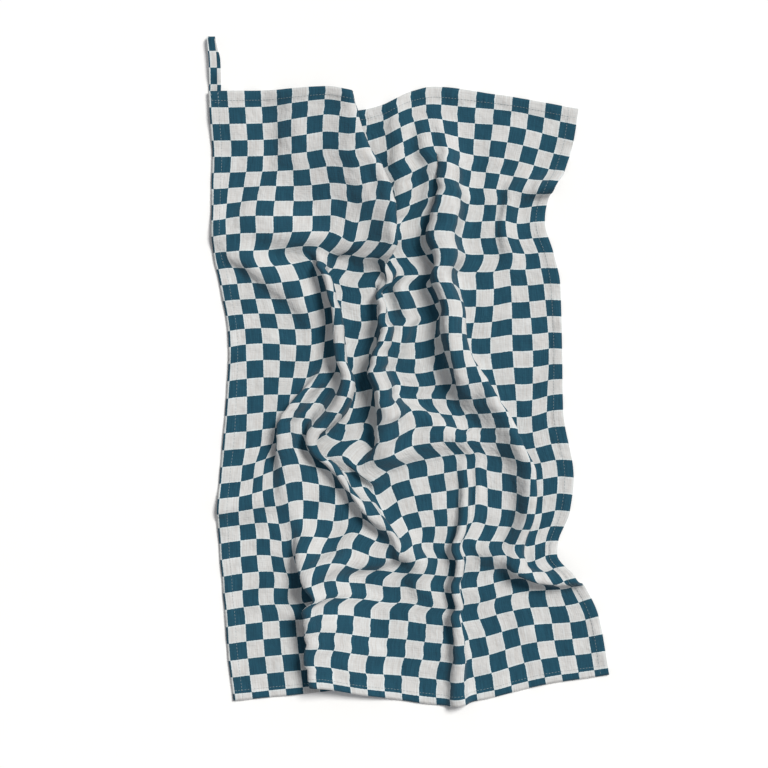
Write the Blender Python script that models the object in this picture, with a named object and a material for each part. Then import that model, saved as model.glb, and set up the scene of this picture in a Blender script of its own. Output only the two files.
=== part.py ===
"""A checked linen hand towel with a sewn hanging loop, lying crumpled on a flat surface, seen from above.

The cloth is one sheet. Its plan outline comes from four short tables of edge places, and its relief from
a table of folds. Every line of threads keeps its length: where a fold climbs, the plan draws in.
All lengths in the tables are millimetres of real cloth, and columns and rows count the woven checks.
"""

import bmesh
import bpy
import numpy as np

# The woven checks: their size, how many there are, and the sliver of the next one at the left edge
CHECK_ACROSS = 0.0180
CHECK_ALONG = 0.0172
COLUMNS = 28.0
ROWS = 37.4
SLIVER = 0.12

CLOTH = 0.0016
HEM = 0.0024

# How cloth bends at a flank's foot and crest, and how far a line's folds may take more or less than theirs
BEND = 0.014
MOST_TAKE = 1.5
LEAST_TAKE = 0.6
STEEPEST_SLIDE = 0.6
# How far kinks are rounded off in the heights, and in the share of cloth that the folds take
EASE = 0.0047
EASE_TAKE = 0.0027

# Faces of the solid across and along, and how many finer steps each is worked out in
FACES_ACROSS = 44
FACES_ALONG = 58
FINER = 3

# row, x of the left edge, x of the right edge, in mm
SIDE_EDGES = (
    (0.0, -207, 178),
    (2.0, -205, 173),
    (4.0, -203, 163),
    (6.0, -204, 149),
    (8.0, -204, 143),
    (10.0, -202, 152),
    (12.0, -195, 159),
    (16.0, -186, 161),
    (20.0, -190, 162),
    (24.0, -196, 173),
    (26.0, -198, 169),
    (28.0, -196, 157),
    (29.0, -195, 155),
    (30.0, -193, 163),
    (31.0, -192, 173),
    (32.0, -190, 182),
    (34.0, -188, 199),
    (37.4, -181, 210),
)
# column, y of the top edge
TOP_EDGE = (
    (0.0, 292), (4.0, 293), (7.0, 295), (8.6, 290), (14.3, 272), (16.0, 278), (18.0, 292),
    (19.5, 297), (23.0, 289), (28.0, 274),
)
BOTTOM_EDGE = (
    (0.0, -342), (4.0, -335), (9.6, -326), (13.0, -336), (18.0, -347), (20.0, -342), (24.0, -325),
    (28.0, -315),
)

# name, where the steep side faces, stations of column, row, steep reach mm, steep angle deg, soft reach mm
FOLDS = (
    ("top tuck", "right", (
        (8.2, -0.5, 60, 168, 105), (9.4, 3.5, 60, 164, 100), (10.8, 6.5, 54, 150, 85),
        (12.2, 9.0, 40, 110, 55), (13.0, 11.0, 20, 0, 30),
    )),
    ("bottom tuck", "left", (
        (5.6, 26.5, 20, 0, 30), (6.4, 29.0, 30, 70, 40), (8.0, 31.6, 42, 115, 60),
        (9.4, 34.5, 52, 155, 80), (9.9, 37.9, 58, 168, 95),
    )),
    ("left step", "left", (
        (5.2, -0.5, 20, 10, 40), (4.4, 5.0, 24, 22, 50), (3.0, 7.2, 24, 22, 45), (1.0, 8.8, 20, 0, 40),
    )),
    ("left crest", "down", (
        (-0.6, 8.8, 16, 28, 30), (3.0, 8.8, 22, 36, 40), (6.0, 9.3, 26, 58, 45), (8.6, 9.4, 24, 55, 40),
        (10.0, 9.0, 16, 0, 30),
    )),
    ("left slant", "left", (
        (0.6, 9.4, 18, 25, 25), (2.9, 11.2, 26, 50, 35), (4.6, 13.0, 24, 45, 30),
        (5.2, 15.3, 18, 0, 25),
    )),
    ("left ridge", "right", (
        (7.2, 9.8, 18, 0, 20), (7.6, 12.0, 34, 100, 32), (8.0, 14.0, 38, 112, 34),
        (8.7, 16.5, 40, 120, 38), (8.9, 19.0, 40, 116, 38), (8.8, 21.0, 30, 90, 34),
        (8.8, 23.0, 20, 0, 24),
    )),
    ("lump", "left", (
        (6.6, 17.2, 16, 0, 20), (5.9, 19.2, 26, 100, 30), (5.4, 21.5, 30, 112, 34),
        (5.2, 23.5, 26, 70, 34), (5.0, 25.0, 24, 40, 34), (5.2, 27.5, 18, 0, 30),
    )),
    ("slant ridge", "left", (
        (7.6, 20.3, 18, 0, 20), (8.4, 22.5, 26, 80, 32), (9.8, 24.6, 28, 84, 34),
        (12.2, 26.9, 28, 88, 34), (13.6, 28.4, 26, 84, 30), (15.0, 30.4, 20, 50, 26),
        (16.0, 32.4, 16, 0, 24),
    )),
    ("row 26 crease", "down", (
        (-0.6, 25.7, 18, 36, 30), (2.5, 25.6, 18, 38, 30), (5.0, 25.9, 16, 0, 30),
    )),
    ("pocket crest", "down", (
        (6.8, 30.3, 16, 0, 20), (9.0, 30.2, 22, 60, 36), (11.5, 29.2, 22, 55, 40),
        (13.8, 27.6, 16, 0, 30),
    )),
    ("inner ridge", "left", (
        (13.0, 10.0, 20, 0, 20), (13.6, 12.5, 34, 85, 30), (14.0, 15.0, 40, 112, 34),
        (14.1, 18.0, 42, 120, 36), (14.3, 20.5, 34, 90, 34), (14.8, 23.0, 20, 0, 30),
    )),
    ("knot", "down", (
        (12.6, 10.9, 16, 0, 20), (14.6, 10.2, 22, 60, 28), (16.4, 9.2, 20, 60, 26),
        (17.6, 8.0, 16, 0, 20),
    )),
    ("thin ridge", "left", (
        (16.9, 10.0, 16, 0, 16), (16.4, 12.5, 22, 70, 20), (15.8, 15.0, 24, 80, 22),
        (15.2, 17.5, 16, 0, 20),
    )),
    ("top streak", "left", (
        (16.9, -0.5, 14, 25, 20), (16.7, 3.5, 18, 50, 22), (16.3, 7.0, 18, 45, 22),
        (16.2, 9.5, 14, 0, 20),
    )),
    ("pale crease", "right", (
        (18.5, 1.5, 16, 0, 20), (18.5, 4.0, 20, 72, 26), (18.4, 7.0, 20, 60, 26),
        (18.0, 9.5, 16, 0, 20),
    )),
    ("main ridge", "left", (
        (19.4, 0.8, 18, 0, 30), (19.9, 4.0, 26, 60, 32), (20.2, 8.0, 38, 105, 40),
        (20.1, 12.0, 42, 112, 44), (20.0, 14.5, 42, 112, 44), (20.2, 17.0, 34, 85, 40),
        (20.6, 19.5, 22, 0, 30),
    )),
    ("outer ridge", "right", (
        (21.2, 12.0, 16, 0, 24), (21.7, 15.0, 24, 70, 40), (22.2, 18.0, 30, 105, 56),
        (23.2, 21.0, 30, 108, 46), (24.0, 23.5, 28, 90, 40), (24.2, 26.0, 26, 80, 34),
        (24.2, 28.5, 22, 70, 30), (24.4, 30.5, 16, 0, 24),
    )),
    ("cross ridge", "up", (
        (13.8, 18.4, 14, 0, 20), (15.6, 19.8, 20, 80, 30), (18.0, 21.2, 22, 70, 34),
        (20.4, 21.9, 22, 50, 34), (22.0, 21.8, 14, 0, 24),
    )),
    ("cross step", "down", (
        (11.0, 23.0, 14, 0, 24), (13.0, 22.6, 24, 50, 40), (16.0, 22.0, 24, 52, 30),
        (18.4, 22.6, 14, 0, 24),
    )),
    ("long pleat", "left", (
        (18.8, 22.8, 14, 0, 14), (18.7, 25.5, 20, 60, 20), (18.7, 29.0, 26, 98, 24),
        (18.7, 33.0, 26, 98, 24), (18.6, 37.9, 22, 70, 24),
    )),
    ("right fold", "down", (
        (20.0, 28.4, 16, 0, 24), (22.5, 29.2, 24, 66, 30), (25.0, 30.4, 30, 95, 34),
        (28.6, 31.2, 26, 70, 34),
    )),
    ("right nip", "down", (
        (24.4, 28.2, 12, 0, 16), (26.4, 28.9, 16, 60, 20), (28.6, 29.2, 18, 70, 22),
    )),
    ("upper right", "left", (
        (25.9, 4.2, 14, 0, 20), (25.2, 6.5, 18, 56, 24), (24.8, 9.0, 18, 50, 24),
        (24.7, 11.5, 14, 0, 20),
    )),
    ("edge overlap", "down", (
        (28.6, 5.2, 24, 110, 34), (27.0, 5.6, 22, 80, 30), (25.4, 6.2, 12, 0, 20),
    )),
)

# Where crossings of the checks lie, seen from above: row, then column, x mm and y mm of each
PINS = (
    (2, ((4, -135, 260), (7, -87, 266), (20, 36, 262), (24, 107, 256))),
    (4, ((3, -150, 225), (7, -88, 230), (9, -54, 229), (18, 13, 231), (22, 69, 226))),
    (8, ((3, -158, 162), (9, -50, 155), (20, 31, 164), (22, 61, 156), (24, 91, 158), (26, 114, 154),
         (28, 143, 157))),
    (10, ((3, -160, 126), (10, -59, 121), (16, -14, 119), (18, 19, 121), (20, 31, 127), (26, 122, 123))),
    (12, ((5, -113, 95), (7, -88, 101), (10, -70, 91), (12, -32, 87), (17, 2, 84),
          (20, 33, 92), (22, 54, 86), (25, 108, 90))),
    (16, ((2, -151, 30), (5, -100, 28), (8, -76, 31), (10, -66, 20), (12, -39, 18), (14, -33, 17),
          (16, -9, 14), (18, 27, 17), (20, 45, 22), (22, 63, 21), (25, 110, 22))),
    (20, ((3, -136, -41), (6, -112, -32), (8, -84, -39), (10, -70, -50), (12, -45, -53),
          (14, -29, -55), (17, 21, -41), (20, 60, -45), (22, 87, -42), (25, 114, -47), (28, 162, -39))),
    (24, ((2, -160, -111), (4, -140, -103), (7, -95, -99), (12, -47, -120), (15, 2, -112),
          (18, 52, -103), (21, 82, -102), (24, 127, -111), (26, 141, -111), (28, 172, -110))),
    (28, ((3, -143, -174), (6, -111, -172), (7, -98, -170), (11, -33, -176), (15, 15, -178),
          (18, 47, -178), (20, 59, -174), (23, 100, -177), (26, 133, -180), (28, 156, -176))),
    (30, ((28, 162, -202),)),
    (32, ((2, -154, -243), (10, -76, -233), (13, -29, -239), (16, 25, -245),
          (20, 58, -243), (22, 92, -236), (24, 127, -228), (28, 180, -220))),
    (33, ((27, 181, -241),)),
    (34, ((20, 64, -279), (25, 150, -262), (27, 186, -258))),
    (36, ((10, -96, -303), (14, -25, -315), (16, 12, -318), (19, 58, -321),
          (23, 122, -303), (26, 175, -295))),
)
# How far a pin's pull reaches, in checks, how slack it is, and how near the edges it fades out
PIN_REACH = 3.0
PIN_SLACK = 0.03
PIN_FADE = 1.4

FACING = {"left": (-1.0, 0.0), "right": (1.0, 0.0), "up": (0.0, -1.0), "down": (0.0, 1.0)}

# The hanging loop: a folded tape of the same cloth, its two ends sewn under the top left corner
TAPE_WIDE = 0.0083
TAPE_THICK = 0.0012
LOOP_REACH = 0.0570
LOOP_TUCKED = 0.0100
LOOP_STEPS = 22
TURN_STEPS = 8
# mm beyond the top hem, x of the upper leg, x of the lower leg, space between the legs
LOOP = (
    (-10, -201.6, -200.0, 0.3),
    (0, -202.4, -198.6, 0.3),
    (8, -202.1, -198.3, 1.6),
    (20, -202.0, -198.6, 4.8),
    (34, -202.5, -199.2, 5.4),
    (46, -203.6, -202.2, 5.4),
    (57, -205.0, -204.6, 5.4),
)
CORNER_LIFT = 0.0031
LIFT_FLAT = 1.5
LIFT_FADE = 2.6

PIECES = {
    "towel_cloth": ((0.245, 0.345, 0.400), 0.92),
    "hanging_loop": ((0.028, 0.098, 0.155), 0.92),
}


def clear_scene():
    for thing in list(bpy.data.objects):
        bpy.data.objects.remove(thing)


def smooth(x):
    """An S-shaped step from 0 to 1."""
    x = np.clip(x, 0.0, 1.0)
    return x * x * (3.0 - 2.0 * x)


def curve(table, at, column):
    """A smooth curve through one column of a table, read at the places asked for."""
    knots = np.array([row[0] for row in table], float)
    values = np.array([row[column] for row in table], float)
    step = np.diff(knots)
    slope = np.diff(values) / step
    before, after = slope[:-1], slope[1:]
    same_way = before * after > 0.0
    mean = 2.0 * before * after / np.where(same_way, before + after, 1.0)
    tangent = np.concatenate([slope[:1], np.where(same_way, mean, 0.0), slope[-1:]])
    at = np.clip(at, knots[0], knots[-1])
    i = np.clip(np.searchsorted(knots, at) - 1, 0, len(knots) - 2)
    t = (at - knots[i]) / step[i]
    start = (1.0 + 2.0 * t) * (1.0 - t) ** 2 * values[i] + t * (1.0 - t) ** 2 * step[i] * tangent[i]
    end = t * t * (3.0 - 2.0 * t) * values[i + 1] + t * t * (t - 1.0) * step[i] * tangent[i + 1]
    return start + end


def slope_up(s, reach, angle):
    """The slope angle at cloth distance s from a flank's foot: it bends up, runs straight and bends back."""
    bend = np.minimum(BEND, 0.5 * reach)
    return angle * smooth(s / bend) * smooth((reach - s) / bend)


def flank_height(s, reach, angle, samples=12):
    """The height climbed over the cloth distance s from a flank's foot."""
    total = np.zeros_like(s)
    for j in range(samples):
        total += np.sin(slope_up(s * (j + 0.5) / samples, reach, angle))
    return total * s / samples


SOFT_ANGLES = np.radians(np.linspace(0.0, 88.0, 45))
SOFT_REACH = np.array([0.05])
SOFT_RISES = np.array([flank_height(SOFT_REACH, SOFT_REACH, a)[0] for a in SOFT_ANGLES]) / SOFT_REACH[0]


def nearest_on_path(across, along, px, py, nx, ny):
    """For each point of the cloth: its distance to a path, its side of it and where along the path it is."""
    gap = np.full(across.shape, np.inf)
    side = np.zeros(across.shape)
    place = np.zeros(across.shape)
    for i in range(len(px) - 1):
        bx, by = px[i + 1] - px[i], py[i + 1] - py[i]
        t = ((across - px[i]) * bx + (along - py[i]) * by) / (bx * bx + by * by)
        t = np.clip(t, 0.0, 1.0)
        dx, dy = across - px[i] - t * bx, along - py[i] - t * by
        distance = np.hypot(dx, dy)
        closer = distance < gap
        gap = np.where(closer, distance, gap)
        side = np.where(closer, dx * nx[i] + dy * ny[i], side)
        place = np.where(closer, i + t, place)
    return gap, side, place


def fold(across, along, facing, stations, samples=48):
    """One fold: its height, and the share of the cloth's length that it hides across and along."""
    table = np.array(stations, float)
    path = table[:, :2] * (CHECK_ACROSS, CHECK_ALONG)
    steps = np.hypot(*np.diff(path, axis=0).T)
    knots = np.concatenate([[0.0], np.cumsum(steps)])
    places = np.linspace(0.0, knots[-1], samples)
    rows = np.column_stack([knots, path, table[:, 2:]])
    px, py, steep, angle, soft = (curve(rows, places, column) for column in range(1, 6))
    tx, ty = np.gradient(px, places), np.gradient(py, places)
    size = np.hypot(tx, ty)
    nx, ny = ty / size, -tx / size
    face = FACING[facing]
    turn = np.sign(nx.mean() * face[0] + ny.mean() * face[1])
    nx, ny = nx * turn, ny * turn
    gap, side, place = nearest_on_path(across, along, px, py, nx, ny)
    order = np.arange(samples)
    steep = np.interp(place, order, steep) * 0.001
    soft = np.interp(place, order, soft) * 0.001
    angle = np.radians(np.interp(place, order, angle))
    crest = flank_height(steep, steep, angle)
    soft_angle = np.interp(crest / soft, SOFT_RISES, SOFT_ANGLES)
    on_steep = side > 0.0
    s = np.maximum(np.where(on_steep, steep, soft) - gap, 0.0)
    reach = np.where(on_steep, steep, soft)
    lean = np.where(on_steep, angle, soft_angle)
    height = flank_height(s, reach, lean)
    height *= crest / np.maximum(flank_height(reach, reach, lean), 1e-6)
    hidden = np.cos(slope_up(s, reach, lean)) - 1.0
    nx, ny = np.interp(place, order, nx), np.interp(place, order, ny)
    return height, hidden * nx ** 2, hidden * ny ** 2


def eased(field, reach, step):
    """The field with each value drawn towards its neighbours' over this reach, which rounds off kinks."""
    for _ in range(max(1, round(2.0 * (reach / step) ** 2))):
        ring = np.pad(field, 1, mode="edge")
        rows = 0.25 * (ring[:, :-2] + ring[:, 2:]) + 0.5 * ring[:, 1:-1]
        field = 0.25 * (rows[:-2] + rows[2:]) + 0.5 * rows[1:-1]
    return field


def laid(share, step, low, high):
    """Places along the cloth's lines from low to high, with the folds taking up the length that is over."""
    cloth = step * share.shape[1]
    taken = cloth - share.sum(axis=1) * step
    more = np.clip((cloth - np.abs(high - low)) / np.maximum(taken, 1e-4), LEAST_TAKE, MOST_TAKE)
    share = np.maximum(1.0 - more[:, None] * (1.0 - share), -1.05)
    run = np.concatenate([np.zeros((len(share), 1)), np.cumsum(share, axis=1)], axis=1)
    return low[:, None] + run / run[:, -1:] * (high - low)[:, None]


def read_between(field, columns, rows):
    """A field of the sheet's grid read at these fractional columns and rows of its lines."""
    i = np.clip(np.floor(columns).astype(int), 0, field.shape[1] - 2)
    j = np.clip(np.floor(rows).astype(int), 0, field.shape[0] - 2)
    a, b = columns - i, rows - j
    near = field[j, i].T * (1.0 - a) + field[j, i + 1].T * a
    far = field[j + 1, i].T * (1.0 - a) + field[j + 1, i + 1].T * a
    return (near * (1.0 - b) + far * b).T


def pinned(x, y, u, v):
    """The laid cloth drawn over to its pins, with a smooth pull in between and none out over its edges."""
    pins = np.array([(column, row, right, up) for row, cells in PINS for column, right, up in cells], float)
    column, row, right, up = pins.T
    line_across = (column - u[0]) / (u[1] - u[0])
    line_along = (row - v[0]) / (v[1] - v[0])
    short = np.column_stack([
        right * 0.001 - read_between(x, line_across, line_along),
        up * 0.001 - read_between(y, line_across, line_along),
    ])
    shared = np.exp(-np.hypot(column[:, None] - column, row[:, None] - row) ** 2 / PIN_REACH ** 2)
    pulls = np.linalg.solve(shared + PIN_SLACK * np.eye(len(pins)), short)
    columns, rows = np.meshgrid(u, v)
    free_across = smooth((columns - u[0]) / PIN_FADE) * smooth((u[-1] - columns) / PIN_FADE)
    free_along = smooth(rows / PIN_FADE) * smooth((v[-1] - rows) / PIN_FADE)
    for at_column, at_row, pull in zip(column, row, pulls):
        near = np.exp(-np.hypot(columns - at_column, rows - at_row) ** 2 / PIN_REACH ** 2)
        x = x + free_across * near * pull[0]
        y = y + free_along * near * pull[1]
    return x, y


def thread_share(step_up, step_aside, hidden):
    """How much of a thread's length shows in plan, backwards where the cloth is folded under."""
    flat = np.sqrt(np.maximum(1.0 - step_up ** 2 - step_aside ** 2, 0.0))
    return np.where(hidden < -1.0, -flat, flat)


def sheet_points(columns, rows, rounds=5):
    """The sheet's middle: places of evenly spaced lines of thread, for this many steps across and along."""
    u = np.linspace(-SLIVER, COLUMNS, columns + 1)
    v = np.linspace(0.0, ROWS, rows + 1)
    across, along = np.meshgrid(u * CHECK_ACROSS, v * CHECK_ALONG)
    height, hidden_across, hidden_along = np.zeros((3,) + across.shape)
    for _name, facing, stations in FOLDS:
        up, over_x, over_y = fold(across, along, facing, stations)
        height += up
        hidden_across += over_x
        hidden_along += over_y
    du, dv = across[0, 1] - across[0, 0], along[1, 0] - along[0, 0]
    z = eased(height, EASE, dv)
    hidden_across = eased(hidden_across, EASE_TAKE, dv)
    hidden_along = eased(hidden_along, EASE_TAKE, dv)
    hidden_across = 0.5 * (hidden_across[:, 1:] + hidden_across[:, :-1])
    hidden_along = 0.5 * (hidden_along[1:] + hidden_along[:-1])
    left, right = curve(SIDE_EDGES, v, 1) * 0.001, curve(SIDE_EDGES, v, 2) * 0.001
    top, bottom = curve(TOP_EDGE, u, 1) * 0.001, curve(BOTTOM_EDGE, u, 1) * 0.001
    z_across, z_along = np.diff(z, axis=1) / du, np.diff(z, axis=0) / dv
    y_across, x_along = np.zeros_like(z_across), np.zeros_like(z_along)
    for _ in range(rounds):
        share_across = eased(thread_share(z_across, y_across, hidden_across), EASE_TAKE, dv)
        share_along = eased(thread_share(z_along, x_along, hidden_along), EASE_TAKE, dv)
        x = laid(share_across, du, left, right)
        y = laid(share_along.T, dv, top, bottom).T
        y_across = np.clip(np.diff(y, axis=1) / du, -STEEPEST_SLIDE, STEEPEST_SLIDE)
        x_along = np.clip(np.diff(x, axis=0) / dv, -STEEPEST_SLIDE, STEEPEST_SLIDE)
    x, y = pinned(x, y, u, v)
    column, row = np.meshgrid(u, v)
    lift = smooth((LIFT_FLAT + LIFT_FADE - np.hypot(column, row)) / LIFT_FADE)
    return x, y, np.maximum(z, lift * CORNER_LIFT)


def new_object(name, mesh):
    colour, roughness = PIECES[name]
    material = bpy.data.materials.new(name)
    material.use_nodes = True
    shader = material.node_tree.nodes["Principled BSDF"]
    shader.inputs["Base Color"].default_value = (*colour, 1.0)
    shader.inputs["Roughness"].default_value = roughness
    shader.inputs["Metallic"].default_value = 0.0
    mesh.materials.append(material)
    mesh.shade_smooth()
    piece = bpy.data.objects.new(name, mesh)
    bpy.context.scene.collection.objects.link(piece)
    return piece


def thicken(piece, thickness):
    wall = piece.modifiers.new("cloth thickness", "SOLIDIFY")
    wall.thickness = thickness
    wall.offset = 0.0
    return wall


def grid_mesh(name, points):
    """A grid of faces whose corners lie at these rows of places."""
    rows, columns = points.shape[:2]
    shape = bmesh.new()
    bmesh.ops.create_grid(shape, x_segments=columns - 1, y_segments=rows - 1, size=0.5)
    for vertex in shape.verts:
        column = round((vertex.co.x + 0.5) * (columns - 1))
        row = round((0.5 - vertex.co.y) * (rows - 1))
        vertex.co = points[row, column]
    mesh = bpy.data.meshes.new(name)
    shape.to_mesh(mesh)
    shape.free()
    return mesh


def make_towel(centre):
    """The towel's one cloth, thicker along its four hemmed edges."""
    x, y, z = sheet_points(FACES_ACROSS * FINER, FACES_ALONG * FINER)
    points = np.stack([x, y, z], axis=-1)[::FINER, ::FINER]
    rim = np.ones(points.shape[:2], bool)
    rim[1:-1, 1:-1] = False
    points[..., 2] += 0.5 * np.where(rim, HEM, CLOTH)
    piece = new_object("towel_cloth", grid_mesh("towel_cloth", points - (*centre, 0.0)))
    hem = piece.vertex_groups.new(name="hem")
    edge = boundary_vertices(piece.data)
    for vertex in piece.data.vertices:
        hem.add([vertex.index], float(vertex.index in edge), "REPLACE")
    wall = thicken(piece, HEM)
    wall.vertex_group = "hem"
    wall.thickness_vertex_group = CLOTH / HEM
    return piece


def boundary_vertices(mesh):
    shape = bmesh.new()
    shape.from_mesh(mesh)
    found = {vertex.index for vertex in shape.verts if vertex.is_boundary}
    shape.free()
    return found


def loop_line():
    """Places along the middle of the looped tape: out on the surface, round, and back above it."""
    out = np.linspace(-LOOP_TUCKED, LOOP_REACH - 0.5 * loop_gap(LOOP_REACH) - TAPE_THICK, LOOP_STEPS)
    low = 0.5 * TAPE_THICK
    lower = [(loop_x(d, 2), d, low) for d in out]
    upper = [(loop_x(d, 1), d, low + TAPE_THICK + loop_gap(d)) for d in out[::-1]]
    radius = 0.5 * (TAPE_THICK + loop_gap(out[-1]))
    turn = []
    for step in range(1, TURN_STEPS):
        angle = np.pi * step / TURN_STEPS
        across = loop_x(out[-1], 2) + (loop_x(out[-1], 1) - loop_x(out[-1], 2)) * step / TURN_STEPS
        turn.append((across, out[-1] + radius * np.sin(angle), low + radius * (1.0 - np.cos(angle))))
    return np.array(lower + turn + upper)


def loop_x(distance, column):
    return float(curve(LOOP, np.array(distance * 1000.0), column)) * 0.001


def loop_gap(distance):
    return float(curve(LOOP, np.array(distance * 1000.0), 3)) * 0.001


def make_loop(centre):
    line = loop_line()
    line[:, 1] += TOP_EDGE[0][1] * 0.001
    half = np.array([0.5 * TAPE_WIDE, 0.0, 0.0])
    points = np.stack([line - half, line + half], axis=1)
    piece = new_object("hanging_loop", grid_mesh("hanging_loop", points - (*centre, 0.0)))
    thicken(piece, TAPE_THICK)
    return piece


def plan_centre():
    """The middle of the whole towel's plan box, loop and half the hem's thickness taken in."""
    x, y, _z = sheet_points(FACES_ACROSS * FINER, FACES_ALONG * FINER)
    loop_top = TOP_EDGE[0][1] * 0.001 + LOOP_REACH
    return 0.5 * (x.min() + x.max()), 0.5 * (y.min() + loop_top)


def main():
    clear_scene()
    centre = plan_centre()
    make_towel(centre)
    make_loop(centre)


main()
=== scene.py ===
"""The looks of a checked linen hand towel with a sewn hanging loop, lying in its folds on a pale floor.

The cloth is a fine sheet laid in the folds of the tables below, with its hems, its stitching and the loop's
tape. Lengths in the tables are real millimetres, and columns and rows count the woven checks.
"""

import math

import bmesh
import bpy
import numpy as np
from mathutils import Matrix, Vector


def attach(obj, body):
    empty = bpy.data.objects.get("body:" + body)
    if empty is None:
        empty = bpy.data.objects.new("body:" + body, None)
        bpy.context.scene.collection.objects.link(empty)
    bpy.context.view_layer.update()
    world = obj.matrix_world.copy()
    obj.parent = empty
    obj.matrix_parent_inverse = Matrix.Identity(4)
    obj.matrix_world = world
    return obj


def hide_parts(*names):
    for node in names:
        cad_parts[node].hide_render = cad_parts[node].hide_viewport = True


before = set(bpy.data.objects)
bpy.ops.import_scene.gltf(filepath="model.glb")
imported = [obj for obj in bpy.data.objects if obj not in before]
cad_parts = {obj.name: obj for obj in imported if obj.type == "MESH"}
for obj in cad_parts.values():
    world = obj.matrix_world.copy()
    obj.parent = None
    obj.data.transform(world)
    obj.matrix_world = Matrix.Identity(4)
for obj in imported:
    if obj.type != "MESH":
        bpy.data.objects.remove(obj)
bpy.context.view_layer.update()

# The woven checks: their size, how many there are, and the sliver of the next one at the left edge
CHECK_ACROSS = 0.0180
CHECK_ALONG = 0.0172
COLUMNS = 28.0
ROWS = 37.4
SLIVER = 0.12

# Thickness of the single cloth and of its hems, the hems' width and the step between the two
CLOTH = 0.0011
HEM = 0.0021
HEM_WIDE = 0.0100
HEM_STEP = 0.0020

# The length of cloth in which a flank bends
BEND = 0.012
# The steepest angle of a soft flank in degrees, and how many angles up to it are tried
STEEPEST_SOFT = 88.0
SOFT_SAMPLES = 45
# The most and the least of the hidden length that a line takes up, how far it may run back under a fold,
# and how far the lines may slide aside
MOST_TAKE = 1.5
LEAST_TAKE = 0.6
FURTHEST_BACK = -1.05
STEEPEST_SLIDE = 0.6
# How much of a fold's height its pinched crest adds, and how wide the pinch is
CREST_SHARE = 0.11
CREST_WIDE = 0.0065
# How far the heights and the hidden lengths are drawn towards their neighbours
EASE = 0.0034
EASE_TAKE = 0.0021

# Faces of the fine sheet, and the steps at which the plan's middle is worked out
FACES_ACROSS = 168
FACES_ALONG = 224
PLAN_ACROSS = 132
PLAN_ALONG = 174

# row, x of the left edge, x of the right edge, in mm
SIDE_EDGES = (
    (0.0, -207, 178),
    (2.0, -205, 173),
    (4.0, -203, 163),
    (6.0, -204, 149),
    (8.0, -204, 143),
    (10.0, -202, 152),
    (12.0, -195, 159),
    (16.0, -186, 161),
    (20.0, -190, 162),
    (24.0, -196, 173),
    (26.0, -198, 169),
    (28.0, -196, 157),
    (29.0, -195, 155),
    (30.0, -193, 163),
    (31.0, -192, 173),
    (32.0, -190, 182),
    (34.0, -188, 199),
    (37.4, -181, 210),
)
# column, y of the top edge
TOP_EDGE = (
    (0.0, 292), (4.0, 293), (7.0, 295), (8.6, 290), (14.3, 272), (16.0, 278), (18.0, 292),
    (19.5, 297), (23.0, 289), (28.0, 274),
)
BOTTOM_EDGE = (
    (0.0, -342), (4.0, -335), (9.6, -326), (13.0, -336), (18.0, -347), (20.0, -342), (24.0, -325),
    (28.0, -315),
)

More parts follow.
